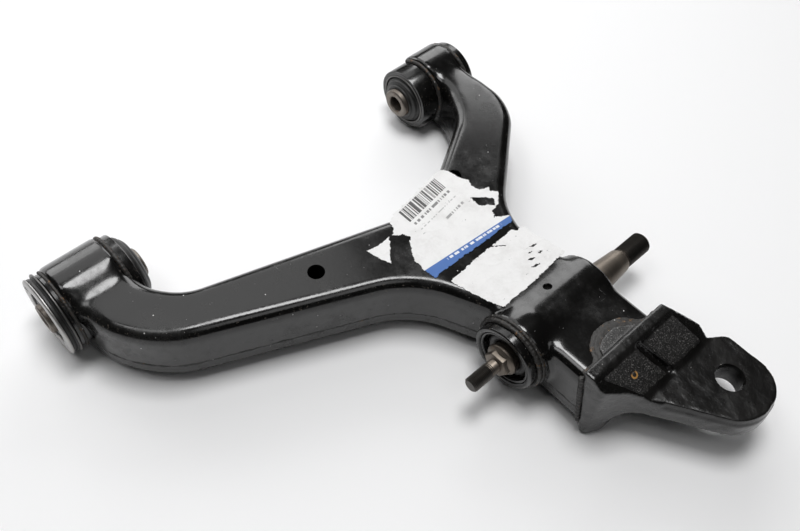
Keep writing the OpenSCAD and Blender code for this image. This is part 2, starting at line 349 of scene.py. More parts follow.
def black_paint():
    net = Finish("black_paint")
    cloud = net.noise(38, 4)
    grain = net.noise(1.6, 2, seed=3.1)
    film = net.noise(9, 5, 0.7, seed=1.7)
    dust = (film * 0.6 + cloud * 0.6).step(0.52, 0.85)
    specks = net.spots(7.5, 0.55, 0.16, 0.31)
    small = net.spots(3.4, 0.28, 0.14, 0.73)
    swept = net.noise(3.2, 4, 0.6, stretch=(0.16, 1.5, 1.0), seed=2.2)
    scratches = swept.step(0.715, 0.75) * film.step(0.42, 0.56)
    across = net.noise(3.0, 3, 0.55, stretch=(1.4, 0.12, 1.0), seed=5.2)
    nicks = across.step(0.73, 0.77) * cloud.step(0.44, 0.56)
    up = net.add("ShaderNodeNewGeometry", out="Normal")
    rise = net.add("ShaderNodeSeparateXYZ", None, {0: up}, "Z")
    corner = rise.step(0.12, 0.3) * rise.step(0.93, 0.75)
    worn = corner * net.noise(2.4, 4, 0.7, seed=7.7).step(0.60, 0.68)
    base = net.blend(cloud.step(0.35, 0.75), grey(0.0035, 0.05), grey(0.0065, 0.02))
    base = net.blend(dust * 0.4, base, grey(0.022, 0.03))
    base = net.blend(scratches * 0.5, base, grey(0.16, 0.02))
    base = net.blend(nicks * 0.45, base, grey(0.14, 0.02))
    base = net.blend(worn * 0.55, base, (0.16, 0.14, 0.12, 1))
    base = net.blend(specks, base, grey(0.62, 0.01))
    base = net.blend(small * 0.7, base, grey(0.4, 0.02))
    rough = 0.16 + dust * 0.16 + grain * 0.05 + (specks + small) * 0.3
    peel = net.noise(2.2, 2, seed=4.4)
    relief = net.bump(peel * 0.7 + grain * 0.2, 0.05)
    pits = net.bump((specks + small) * 0.6 - scratches * 0.5, 0.12, under=relief)
    net.set(IOR=1.5, Coat_Roughness=0.07)
    net.drive({"Base Color": base, "Roughness": rough, "Normal": pits,
               "Coat Weight": 0.3 - dust * 0.3})
    return net


BLACK_PAINT = black_paint()
print("black paint nodes:", len(BLACK_PAINT.tree.nodes))

# %% [markdown]
# ## Forged bracket
#
# The bracket is forged, shot blasted and dipped in the same black coat, so its skin is
# granular and catches hundreds of small lights. Fine noise makes the grain, but only on
# the sloping faces and the lobe, which masks pick out by place. Pale specks on the grain
# are painted glints, rust shows in a few patches, and a painted mark sits on the near face.

# %% Forged paint


MARK_X, MARK_Y = 319.6, 236.6
GROOVE_X, GROOVE_Y = 309.5, 252.6


def forged_paint():
    net = Finish("forged_paint")
    x, y, z = net.axes()
    cloud = net.noise(24, 4, seed=0.4)
    grain = net.noise(0.8, 2, 0.6, seed=1.1)
    coarse = net.noise(3.8, 4, 0.65, seed=2.3)
    up = net.add("ShaderNodeNewGeometry", out="Normal")
    rise = net.add("ShaderNodeSeparateXYZ", None, {0: up}, "Z")
    slope = x.step(307.8, 310.0) * z.step(12.6, 14.2) * z.step(30.6, 29.4) * rise.step(0.45, 0.62)
    groove_at = (y - GROOVE_Y) - (x - GROOVE_X) * 0.53
    size = net.add("ShaderNodeMath", {"operation": "ABSOLUTE"}, {0: groove_at})
    border = (y - 211.5) - (x - 309) * 0.93
    flank = 292.5 - y + (x - 309) * 0.42
    face = slope * size.step(3.6, 5.0) * border.step(0.5, 2.0) * flank.step(0.5, 2.0)
    lobe_top = x.step(300.0, 298.6) * z.step(27.6, 28.1) * z.step(30.6, 29.8) * rise.step(0.8, 0.93)
    rough_skin = face + lobe_top * 0.8
    # Painted glints: pale metallic specks on the rough grain stand in for the small lights it catches.
    painted_glints = grain.step(0.60, 0.66) * rough_skin
    rust = net.noise(5.0, 5, 0.75, seed=6.6).step(0.70, 0.75)
    specks = net.spots(6.5, 0.42, 0.15, 0.9)
    mark_x = (x - MARK_X) * 1.2
    mark_y = y - MARK_Y
    away = net.add("ShaderNodeMath", {"operation": "SQRT"}, {0: mark_x * mark_x + mark_y * mark_y})
    ring = away.step(1.6, 2.0) * away.step(3.3, 2.8)
    mark = ring * mark_x.step(-2.2, -0.6) * z.step(11.0, 13.0) * coarse.step(0.3, 0.45)
    base = net.blend(cloud.step(0.4, 0.7), grey(0.0045, 0.06), grey(0.010, 0.05))
    base = net.blend(rough_skin * grain.step(0.45, 0.62) * 0.6, base, grey(0.05, 0.03))
    # The painted glints, pale grey in the colour.
    base = net.blend(painted_glints * 0.9, base, grey(0.34, 0.03))
    base = net.blend(rust * 0.35, base, (0.10, 0.06, 0.035, 1))
    base = net.blend(specks * 0.8, base, grey(0.4, 0.04))
    base = net.blend(mark * 0.9, base, (0.55, 0.28, 0.07, 1))
    relief = net.bump(grain * (0.12 + rough_skin * 0.9) + coarse * 0.6, 0.5)
    net.set(Coat_Roughness=0.2)
    net.drive({"Base Color": base, "Roughness": 0.2 + cloud * 0.14 + rough_skin * 0.18 - painted_glints * 0.1,
               "Metallic": painted_glints * 0.4, "Normal": relief, "Coat Weight": 0.25 - rust * 0.2})
    return net


FORGED_PAINT = forged_paint()

# %% [markdown]
# ## Welds and bare metal
#
# A bead is painted over but burns and rusts at its edges, so it is darker and rougher
# than the sheet, with gold and brown glints. The damper stud is bare, oiled steel gone
# brown. The bush sleeves are plated, with fine turning lines.

# %% Weld metal


def weld_metal(name, rust_share, pale):
    net = Finish(name)
    fine = net.noise(1.1, 3, 0.7)
    broad = net.noise(6.5, 4, 0.7, seed=2.9)
    rust = (broad * 0.75 + fine * 0.35).step(0.66 - rust_share, 0.76 - rust_share)
    glint = net.noise(0.9, 2, 0.6, seed=8.1).step(0.62, 0.7)
    base = net.blend(fine, grey(0.012, 0.05), grey(pale, 0.1))
    base = net.blend(rust * 0.85, base, (0.22, 0.115, 0.045, 1))
    base = net.blend(glint * rust, base, (0.62, 0.46, 0.26, 1))
    base = net.blend(net.spots(3.0, 0.5, 0.12, 0.2), base, grey(0.6, 0.02))
    net.drive({"Base Color": base, "Roughness": 0.4 + fine * 0.2,
               "Metallic": rust * 0.35 + glint * 0.3, "Normal": net.bump(fine + broad, 0.3)})
    return net


SEAM_METAL = weld_metal("seam_metal", 0.0, 0.012)
WELD_METAL = weld_metal("weld_metal", 0.03, 0.025)
HOT_WELD = weld_metal("rusted_weld", 0.055, 0.03)
LOBE_WELD = weld_metal("glinting_weld", 0.045, 0.02)
print("four weld finishes")

# %% Stud and sleeve steel
STUD_X = 243.6


def turned_steel(name, dark, light, warm, shine, rust_share=0.06, axis_x=0.0):
    """Steel turned on a lathe about an axis along Y, with fine rings round it."""
    net = Finish(name)
    x, y, z = net.axes()
    blotch = net.noise(7.0, 4, 0.65, seed=1.3)
    fine = net.noise(1.0, 2, 0.6, seed=0.9)
    lines = net.noise(2.0, 2, 0.7, stretch=(0.05, 6.0, 0.05), seed=3.3)
    out_x = x - axis_x
    radius = net.add("ShaderNodeMath", {"operation": "SQRT"}, {0: out_x * out_x + z * z})
    face = net.add("ShaderNodeCombineXYZ", None, {0: radius * 0.02, 1: y * 0.0004, 2: 0.0})
    rings = net.add("ShaderNodeTexNoise", None, {"Vector": face, "Scale": 60.0, "Detail": 2.0})
    rust = (blotch * 0.8 + fine * 0.3).step(0.72 - rust_share, 0.82 - rust_share)
    base = net.blend(lines * 0.5 + blotch * 0.5, grey(dark, warm), grey(light, warm))
    base = net.blend(rings.step(0.45, 0.6) * 0.35, base, grey(dark * 0.7, warm))
    base = net.blend(rust * 0.6, base, (0.13, 0.07, 0.035, 1))
    net.drive({"Base Color": base, "Metallic": 0.92 - rust * 0.6,
               "Roughness": 0.5 - shine * 0.25 + fine * 0.12 + rust * 0.25,
               "Normal": net.bump(lines * 0.5 + fine * 0.5, 0.06)})
    return net


STUD_STEEL = turned_steel("stud_steel", 0.10, 0.24, 0.16, 0.5, 0.05, STUD_X)
THREAD_STEEL = turned_steel("thread_steel", 0.045, 0.12, 0.08, 0.6, 0.03, STUD_X)
SLEEVE_STEEL = turned_steel("sleeve_steel", 0.34, 0.55, 0.02, 0.5, 0.02)
SLEEVE_BROWN = turned_steel("sleeve_brown", 0.13, 0.26, 0.12, 0.4, 0.12)
RIM_STEEL = turned_steel("rim_steel", 0.10, 0.20, 0.02, 0.6, 0.0)
print("turned steel finishes")

# %% [markdown]
# ## Rubber and paper
#
# Moulded rubber is nearly black and matt, with a grey bloom and mould dust. The labels
# are coated paper: white, slightly see-through where they are rubbed, scuffed and
# dirty. The printed one has a block of bars and a blue band, drawn from distances in
# the label's own directions; where words would be there are only short dashes.

# %% Rubber


def rubber():
    net = Finish("rubber")
    bloom = net.noise(8, 5, 0.7, seed=0.6).step(0.45, 0.8)
    fine = net.noise(0.9, 2, 0.6, seed=2.6)
    base = net.blend(bloom * 0.7, grey(0.010, 0.02), grey(0.035, 0.03))
    base = net.blend(net.spots(4.0, 0.35, 0.15, 0.5) * 0.8, base, grey(0.3, 0.02))
    net.drive({"Base Color": base, "Roughness": 0.42 + bloom * 0.25,
               "Normal": net.bump(fine, 0.08)})
    return net


RUBBER = rubber()

# %% Label paper
BAR_START = Vector((108.2, 207.8))
BAR_ALONG = Vector((-0.015, 1.0))
BAR_ACROSS = Vector((0.988, 0.155))
BAR_RUN = 48.0
BAR_LENGTH = 13.2


def label_paper(name, printed):
    net = Finish(name)
    x, y = net.axes()[:2]
    fibre = net.noise(0.7, 3, 0.6)
    stain = net.noise(14, 5, 0.7, seed=1.9)
    base = net.blend(stain.step(0.4, 0.8), grey(0.80, 0.004), grey(0.68, 0.012))
    if printed:
        along = (x - BAR_START.x) * BAR_ALONG.x + (y - BAR_START.y) * BAR_ALONG.y
        across = (x - BAR_START.x) * BAR_ACROSS.x + (y - BAR_START.y) * BAR_ACROSS.y
        row = net.add("ShaderNodeCombineXYZ", None, {0: along, 1: 0.0, 2: 0.0})
        bars = net.add("ShaderNodeTexNoise", None, {"Vector": row, "Scale": 0.62, "Detail": 1.0})
        ink = bars.step(0.488, 0.5) * along.step(0, 0.3) * along.step(BAR_RUN, BAR_RUN - 0.3)
        ink = ink * across.step(0, 0.3) * across.step(BAR_LENGTH, BAR_LENGTH - 0.3)
        dash = net.add("ShaderNodeTexNoise", None, {"Vector": row, "Scale": 0.45, "Detail": 0.0})
        dashes = dash.step(0.47, 0.5) * along.step(2, 3) * along.step(BAR_RUN - 1, BAR_RUN - 2)
        thin_row = across.step(15.6, 16.0) * across.step(18.4, 18.0) * 0.75
        faint = across.step(23.3, 23.6) * across.step(24.6, 24.3) * 0.4
        lower = across.step(31.0, 31.4) * across.step(33.6, 33.2) * along.step(24, 26) * 0.6
        ink = ink * 0.93 + dashes * (thin_row + faint + lower)
        base = net.blend(ink * (1.0 - stain.step(0.62, 0.75) * 0.4), base, grey(0.03, 0.0))
        band_at = (x - 170.5) * 0.9979 - (y - 233.0) * 0.064
        band = band_at.step(-6.1, -5.8)
        base = net.blend(band * 0.95, base, (0.016, 0.115, 0.40, 1))
        mark_row = net.add("ShaderNodeCombineXYZ", None, {0: y, 1: 0.0, 2: 0.0})
        marks = net.add("ShaderNodeTexNoise", None, {"Vector": mark_row, "Scale": 0.34, "Detail": 1.0})
        white = band_at.step(-4.9, -4.7) * band_at.step(-2.7, -2.9) * marks.step(0.47, 0.5)
        white = white * y.step(206, 207) * y.step(262, 260)
        base = net.blend(white * 0.9, base, grey(0.85, 0.0))
    scuff = net.noise(3.4, 5, 0.75, stretch=(1.0, 0.35, 1.0), seed=9.1).step(0.665, 0.70)
    base = net.blend(scuff * 0.75, base, grey(0.05, 0.02))
    base = net.blend(net.spots(6.0, 0.5, 0.12, 0.8) * 0.8, base, grey(0.06, 0.02))
    net.drive({"Base Color": base, "Roughness": 0.55 + fibre * 0.15,
               "Normal": net.bump(fibre + stain * 2.0, 0.12)})
    return net


PRINTED_PAPER = label_paper("printed_paper", True)
BLANK_PAPER = label_paper("blank_paper", False)
print("paper nodes:", len(PRINTED_PAPER.tree.nodes))

# %% [markdown]
# ## Turned pieces
#
# Tubes, sleeves, rings and rubber are all made as on a lathe. A disc or a circle is
# the start, and each step of the profile extrudes it along the axis and scales it. An
# open circle that comes back to its first ring makes a hollow piece. A last bevel
# breaks the sharp edges, because a real edge always catches a thin line of light.

# %% Turning helper


def turned(profile, axis_x=0.0, hollow=True, edge=0.35, steps=96):
    """Turns (radius, y) points in mm about an axis along Y."""
    deselect()
    radius, station = profile[0]
    bpy.ops.mesh.primitive_circle_add(
        vertices=steps, radius=radius * MM, fill_type="NOTHING" if hollow else "NGON",
        location=(axis_x * MM, station * MM, 0), rotation=(math.pi / 2, 0, 0),
    )
    bpy.ops.object.transform_apply(location=True, rotation=True, scale=True)
    piece = bpy.context.object
    edit(piece)
    bpy.ops.mesh.select_all(action="SELECT")
    rest = profile[1:] + (profile[:1] if hollow else [])
    for next_radius, next_station in rest:
        shift = {"value": (0, (next_station - station) * MM, 0)}
        if hollow:
            bpy.ops.mesh.extrude_edges_move(TRANSFORM_OT_translate=shift)
        else:
            bpy.ops.mesh.extrude_region_move(TRANSFORM_OT_translate=shift)
        scale = next_radius / radius
        bpy.ops.transform.resize(
            value=(scale, 1, scale), center_override=(axis_x * MM, next_station * MM, 0)
        )
        radius, station = next_radius, next_station
    leave()
    outward(piece)
    if edge:
        modify(piece, "BEVEL", width=edge * MM, segments=2, limit_method="ANGLE",
               angle_limit=math.radians(28))
    return piece


def pipe(outer, inner, start, end, axis_x=0.0, edge=0.5):
    return turned([(inner, start), (outer, start), (outer, end), (inner, end)], axis_x, True, edge)


print("turning helper ready")

# %% [markdown]
# ## Arm outline
#
# The arm's plan is a polygon with every corner rounded by its own radius. A filled
# circle with as many points as corners is moved onto them, and each point is then
# bevelled, as a designer would fillet a sketch. Extruding the face down gives the
# height, and bevelling the two outlines gives the pressed edge radius.

# %% Arm form
ARM_TOP = 25.0
ARM_BOTTOM = -30.0
SEAM_Z = -13.5
PRESSED_R = 9.0
PIVOT_SPAN = 347.0
ARM_CORNERS = [
    (-40, -34, 0), (78.5, -13, 80), (162, 175, 70), (228, 206, 80), (330, 206, 0),
    (330, 285, 0), (240, 285, 40), (171, 262, 60), (82, 370, 50), (-40, 370, 0),
    (-40, 336, 0), (53, 336, 52), (116, 231, 45), (54, 25, 42), (-40, 25, 0),
]


def outline_solid(corners, top, bottom, arc_steps=8):
    """A flat-topped block whose plan has rounded corners, given as (x, y, radius)."""
    deselect()
    bpy.ops.mesh.primitive_circle_add(vertices=len(corners), radius=MM, fill_type="NGON")
    piece = bpy.context.object
    for vertex, corner in zip(piece.data.vertices, corners):
        vertex.co = Vector((corner[0], corner[1], top)) * MM
    edit(piece)
    for index, (x, y, radius) in enumerate(corners):
        if not radius:
            continue
        before = Vector(corners[index - 1][:2])
        after = Vector(corners[(index + 1) % len(corners)][:2])
        here = Vector((x, y))
        sweep = (here - before).angle(after - here)
        choose(piece, "VERT", lambda p: abs(p.x - x) < 0.01 and abs(p.y - y) < 0.01)
        bpy.ops.mesh.bevel(
            offset=radius * math.tan(sweep / 2) * MM, segments=arc_steps, affect="VERTICES"
        )
    bpy.ops.mesh.select_all(action="SELECT")
    bpy.ops.mesh.extrude_region_move(TRANSFORM_OT_translate={"value": (0, 0, (bottom - top) * MM)})
    leave()
    return outward(piece)


def bevelled_rims(piece, levels, radius, steps=6):
    edit(piece)
    for level in levels:
        choose(piece, "EDGE", lambda p: abs(p.z - level) < 0.001)
        bpy.ops.mesh.bevel(offset=radius * MM, segments=steps, affect="EDGES", clamp_overlap=False)
    leave()
    return piece


arm_form = bevelled_rims(outline_solid(ARM_CORNERS, ARM_TOP, ARM_BOTTOM), (ARM_TOP, ARM_BOTTOM), PRESSED_R)
cut(arm_form, (0, 0, 0), (-1, 0, 0))
print("arm form:", len(arm_form.data.polygons), "faces")

# %% [markdown]
# ## Pressed shells
#
# The press forms saddles over the pivot tubes and a low swage over the damper tube,
# all flowing into the flat top. Sharp cylinders are put through the block, the voxel
# remesh fuses them into one skin, and smoothing melts the joins as drawn sheet does.
# That skin is cut at the weld seam, opened where the tubes pass, and given the sheet's
# thickness inwards. A hand-made blend surface would be crisper, but this keeps every
# transition soft without any seam.

# %% Saddles on the arm form
LARGE_EYE_R = 30.6
LARGE_EYE_WALL = 3.0
SMALL_EYE_R = 27.0
SMALL_EYE_WALL = 3.5
DAMPER_EYE_R = 27.0
LARGE_SADDLE_R = 33.2
DAMPER_COLLAR_R = 31.0
SMALL_SADDLE_R = 30.4
VOXEL = 1.9


def bar(radius, start, end, axis_x=0.0, nose=0.0):
    """A solid bar along Y whose near rim is rounded by nose."""
    profile = [(radius - nose, start)]
    if nose:
        for angle in (30, 60, 90):
            turn = math.radians(angle)
            profile.append((radius - nose * (1 - math.sin(turn)), start + nose * (1 - math.cos(turn))))
    profile += [(radius, end)]
    return turned(profile, axis_x, False, 0, 128)


def trimmed(piece, inboard, level, outboard, away=-1):
    """Keeps what lies between two x planes and above a level, or below it if away is 1."""
    cut(piece, (inboard, 0, 0), (-1, 0, 0))
    cut(piece, (0, 0, level), (0, 0, away))
    return cut(piece, (outboard, 0, 0), (1, 0, 0))


large_saddle = trimmed(bar(LARGE_SADDLE_R, -25.3, 20.5, 0.0, 3.4), -27.7, -2, 27.5)
small_saddle = trimmed(bar(SMALL_SADDLE_R, 336.5, 369), -21.5, -12, 25)
small_cradle = trimmed(bar(SMALL_SADDLE_R, 318.5, 369), -14, -10, 25, 1)
swage = bar(DAMPER_EYE_R + 3.2, 206.2, 284.6, STUD_X, 7.0)
cut(swage, (0, 0, 10), (0, 0, -1))
collar = bar(DAMPER_COLLAR_R, 198.6, 216, STUD_X, 1.5)
print("saddle height above the top:", round(LARGE_SADDLE_R - ARM_TOP, 1))

# %% One skin
END_LEAN = math.radians(10.7)
END_NORMAL = (math.cos(END_LEAN), 0, math.sin(END_LEAN))
END_POINT = (299.2, 0, ARM_TOP)


def skin(parts, voxel=VOXEL):
    piece = joined(parts)
    modify(piece, "REMESH", mode="VOXEL", voxel_size=voxel * MM)
    modify(piece, "SMOOTH", factor=0.5, iterations=4)
    return piece


def soften(piece, weight, rounds):
    """Smooths only where weight(place) is above 0."""
    group = piece.vertex_groups.new(name="soft")
    for vertex in piece.data.vertices:
        amount = weight(vertex.co / MM)
        if amount > 0.02:
            group.add([vertex.index], min(1.0, amount), "REPLACE")
    modify(piece, "SMOOTH", factor=0.5, iterations=rounds, vertex_group="soft")
    piece.vertex_groups.clear()
    return piece


def fade(value, zero, one):
    share = max(0.0, min(1.0, (value - zero) / (one - zero)))
    return share * share * (3 - 2 * share)


def blend_zone(p):
    """High beside the saddles and the swage, where they run into the flat top."""
    large = fade(p.x, 8, 16) * fade(p.x, 52, 34) * fade(p.z, 14, 20) * fade(p.y, 60, 24)
    small = fade(p.x, 6, 13) * fade(p.x, 46, 30) * fade(p.z, 12, 19) * fade(p.y, 300, 330)
    neck = fade(abs(p.x - STUD_X), 34, 22) * fade(abs(p.x - STUD_X), 4, 12) * fade(p.z, 20, 24)
    neck *= fade(p.y, 208, 214) * fade(p.y, 282, 276)
    return max(large, small, neck)


whole = skin([arm_form, large_saddle, small_saddle, swage, collar, small_cradle])
soften(whole, blend_zone, 60)
print("skin:", len(whole.data.polygons), "faces")

# %% Open the skin for the tubes
EYES = (
    (0.0, LARGE_EYE_R - 1.6, -60, 60),
    (0.0, SMALL_EYE_R - 1.8, 300, 400),
    (STUD_X, DAMPER_EYE_R - 2.0, 180, 300),
)


def inside_a_tube(p):
    for axis_x, radius, start, end in EYES:
        if start < p.y < end and math.hypot(p.x - axis_x, p.z) < radius:
            return True
    return False


def opened(piece):
    edit(piece)
    choose(piece, "FACE", inside_a_tube)
    bpy.ops.mesh.delete(type="FACE")
    choose(piece, "VERT", lambda p: True)
    bpy.ops.mesh.delete_loose()
    leave()
    return piece


SHEET = 3.0
cut(whole, END_POINT, END_NORMAL, fill=False)
upper = copied(whole)
lower = whole
cut(upper, (0, 0, SEAM_Z + 0.35), (0, 0, -1), fill=False)
cut(lower, (0, 0, SEAM_Z - 0.35), (0, 0, 1), fill=False)
for shell in (lower, upper):
    opened(shell)
    modify(shell, "SOLIDIFY", thickness=SHEET * MM, offset=-1, use_even_offset=True, use_rim=True)
print("upper", len(upper.data.polygons), "lower", len(lower.data.polygons))

# %% Drain holes
DRAIN_HOLES = (
    (110, 125, 6.6, (upper, lower)), (232, 243, 3.5, (upper,)), (109, 269, 6.0, (upper,)),
)
for hole_x, hole_y, hole_r, shells in DRAIN_HOLES:
    for shell in shells:
        deselect()
        bpy.ops.mesh.primitive_cylinder_add(
            vertices=48, radius=hole_r * MM, depth=20 * MM,
            location=(hole_x * MM, hole_y * MM, (25 if shell is upper else -30) * MM),
        )
        combine(shell, bpy.context.object, "DIFFERENCE")
ready(upper, "pressed_upper_shell", "upper_shell", BLACK_PAINT, 40)
ready(lower, "pressed_lower_shell", "lower_shell", BLACK_PAINT, 40)

# %% [markdown]
# ## Seam weld
#
# The two shells meet edge to edge on a welded seam half way down the walls. The bead
# is ground flush in places and chipped in others. It is a strip that follows the
# arm's outline, made from the same corners a little outside the wall, and its surface
# is pushed about by noise so that its edge wanders.

# %% Seam strip
seam_outer = outline_solid(ARM_CORNERS, SEAM_Z + 1.7, SEAM_Z - 1.7, 14)
edit(seam_outer)
choose(seam_outer, "FACE", lambda p: abs(p.z - SEAM_Z) > 1.0)
bpy.ops.mesh.delete(type="FACE")
leave()
modify(seam_outer, "SOLIDIFY", thickness=2.2 * MM, offset=-1, use_even_offset=True)
cut(seam_outer, (0, 0, 0), (-1, 0, 0))
cut(seam_outer, END_POINT, END_NORMAL)
seam = skin([seam_outer], 0.8)


def chipped(p, normal):
    wander = noise.noise(p / 9.0) * 0.5 + noise.noise(p / 2.6) * 0.32
    side = Vector((normal.x, normal.y, 0))
    return side * (0.12 + wander * 0.6) + Vector((0, 0, 0.5 * noise.noise(p / 5.0 + Vector((7, 0, 0)))))


moved(seam, chipped)
edit(seam)
choose(seam, "FACE", inside_a_tube)
bpy.ops.mesh.delete(type="FACE")
leave()
ready(seam, "seam_bead", "seam_weld", SEAM_METAL, 60)

# %% [markdown]
# ## Tube eyes
#
# Each eye is a length of seamless tube with faced ends. The ends are the parts that
# catch the light, so the pipes get a small bevel. A pipe turned from one profile is
# enough.

# %% Three tube eyes
SMALL_EYE_Y = (316.0, 378.0)

large_eye = pipe(LARGE_EYE_R, LARGE_EYE_R - LARGE_EYE_WALL, -29.4, 29.0, 0, 0.8)
ready(large_eye, "large_eye_tube", "large_pivot_eye", BLACK_PAINT)
small_eye = pipe(SMALL_EYE_R, SMALL_EYE_R - SMALL_EYE_WALL, *SMALL_EYE_Y, 0, 0.7)
ready(small_eye, "small_eye_tube", "small_pivot_eye", BLACK_PAINT)
damper_eye = turned([
    (22.8, 189.2), (23.6, 188.3), (24.6, 188.0), (26.2, 188.0), (27.0, 188.9), (27.0, 284.7),
    (26.2, 285.5), (23.6, 285.5), (22.8, 284.7),
], STUD_X, True, 0.15)
ready(damper_eye, "damper_eye_tube", "damper_eye", BLACK_PAINT)

# %% [markdown]
# ## Large pivot bush
#
# A rolled can with a thin flange is pressed into the eye. Rubber fills it and shows at
# both ends: a drum at the near end with a plated ring bonded over it, and a dome at the
# far end. The inner sleeve, which the bolt clamps, sticks out a little. The ring has a
# small square notch for assembly and the drum has a crescent void behind it, which is
# cut with part of a torus.

# %% Large bush
BOLT_R = 7.1

large_can = turned([
    (25.58, -31.5), (32.7, -31.5), (33.1, -31.1), (33.1, -30.5), (32.7, -30.1), (28.4, -30.1),
    (27.58, -29.2), (27.58, 30.0), (25.58, 30.0),
], 0, True, 0.12, 128)
ready(large_can, "large_bush_can", "large_bush_outer_sleeve", RIM_STEEL)

large_rubber = turned([
    (12.1, -36.9), (18.2, -36.9), (19.8, -36.5), (20.8, -35.4), (22.0, -36.2), (30.4, -36.2),
    (31.2, -35.4), (31.0, -33.6), (30.3, -32.6), (31.2, -31.6), (25.5, -31.6), (25.5, 29.4), (27.1, 30.1),
    (26.4, 31.8), (24.8, 33.4), (23.4, 34.0), (22.6, 35.2), (20.6, 36.4), (17.4, 37.2), (15.0, 38.0),
    (12.1, 38.0),
], 0, True, 0.3, 128)
deselect()
bpy.ops.mesh.primitive_torus_add(
    major_radius=17.2 * MM, minor_radius=2.0 * MM, major_segments=72, minor_segments=16,
    location=(0, -37.1 * MM, 0), rotation=(math.pi / 2, 0, 0),
)
bpy.ops.object.transform_apply(location=True, rotation=True, scale=True)
groove = bpy.context.object
cut(groove, (0, 0, 2), (0.35, 0, 1))
combine(large_rubber, groove, "DIFFERENCE")
ready(large_rubber, "large_bush_rubber_body", "large_bush_rubber", RUBBER)

end_ring = turned([
    (20.8, -37.7), (21.4, -38.1), (30.2, -38.1), (31.3, -37.7), (31.85, -37.0), (31.85, -36.2),
    (20.8, -36.2),
], 0, True, 0.12, 128)
deselect()
bpy.ops.mesh.primitive_cube_add(size=1)
notch = bpy.context.object
notch.dimensions = (4.6 * MM, 6 * MM, 4.2 * MM)
turn = math.radians(150)
notch.location = (25.6 * math.cos(turn) * MM, -38 * MM, 25.6 * math.sin(turn) * MM)
notch.rotation_euler = (0, -turn, 0)
bpy.ops.object.transform_apply(location=True, rotation=True, scale=True)
combine(end_ring, notch, "DIFFERENCE")
ready(end_ring, "large_bush_plate", "large_bush_end_ring", SLEEVE_STEEL)


def inner_sleeve(outer, centre):
    """A thick sleeve with plain chamfered ends; the real ends are serrated to bite into the car's bracket.
    """
    half = 40.7
    return turned([
        (BOLT_R, centre - half + 0.8), (BOLT_R + 0.8, centre - half), (outer - 1.0, centre - half),
        (outer, centre - half + 1.0), (outer, centre + half - 1.0), (outer - 1.0, centre + half),
        (BOLT_R + 0.8, centre + half), (BOLT_R, centre + half - 0.8),
    ], 0, True, 0.15)


large_core = inner_sleeve(12.0, 0.0)
ready(large_core, "large_bush_core", "large_bush_inner_sleeve", SLEEVE_BROWN,
      body="large_pivot_sleeve")

# %% [markdown]
# ## Small pivot bush
#
# The same idea at a smaller size and with no flange: a plain can, a rubber body whose
# face steps down twice from the sleeve to the can, and a thick inner sleeve.

# %% Small bush
small_can = pipe(23.48, 21.88, SMALL_EYE_Y[0] - 0.4, SMALL_EYE_Y[1] + 0.4, 0, 0.3)
ready(small_can, "small_bush_can", "small_bush_outer_sleeve", RIM_STEEL)

SMALL_FACE = [
    (13.0, 36.5), (14.6, 36.5), (15.4, 36.0), (15.9, 34.8), (17.2, 34.1), (18.4, 33.9), (19.1, 33.2),
    (19.5, 31.9), (20.6, 31.2), (21.2, 30.3), (21.86, 28.6),
]
small_rubber = turned(
    [(r, PIVOT_SPAN - depth) for r, depth in SMALL_FACE]
    + [(r, PIVOT_SPAN + depth) for r, depth in reversed(SMALL_FACE)], 0, True, 0.25, 112)
ready(small_rubber, "small_bush_rubber_body", "small_bush_rubber", RUBBER)
small_core = inner_sleeve(12.9, PIVOT_SPAN)
ready(small_core, "small_bush_core", "small_bush_inner_sleeve", SLEEVE_BROWN,
      body="small_pivot_sleeve")

# %% [markdown]
# ## Damper bush and stud
#
# A thick can and rubber hold a long stud right across the neck. At the near end the
# stud has a fine thread and a small hex to hold it by, and at the far end a taper seats
# in the damper's eye before a coarser thread. Each thread is one V profile carried
# round by the Screw modifier and cut to length; its end is chamfered by keeping only
# what lies inside a turned envelope.

# %% Damper bush
damper_can = turned([
    (20.58, 189.6), (21.2, 189.0), (22.1, 189.0), (22.78, 189.7), (22.78, 284.2), (22.1, 284.7),
    (21.2, 284.7), (20.58, 284.1),
], STUD_X, True, 0.12)
ready(damper_can, "damper_bush_can", "damper_bush_outer_sleeve", BLACK_PAINT)
damper_rubber = turned([
    (12.3, 193.0), (13.6, 192.2), (16.0, 192.0), (17.6, 192.8), (18.8, 194.6), (20.56, 195.6),
    (20.56, 279.0), (18.6, 281.2), (17.0, 283.0), (14.0, 283.0), (12.3, 282.0),
], STUD_X, True, 0.3)
ready(damper_rubber, "damper_bush_rubber_body", "damper_bush_rubber", RUBBER)


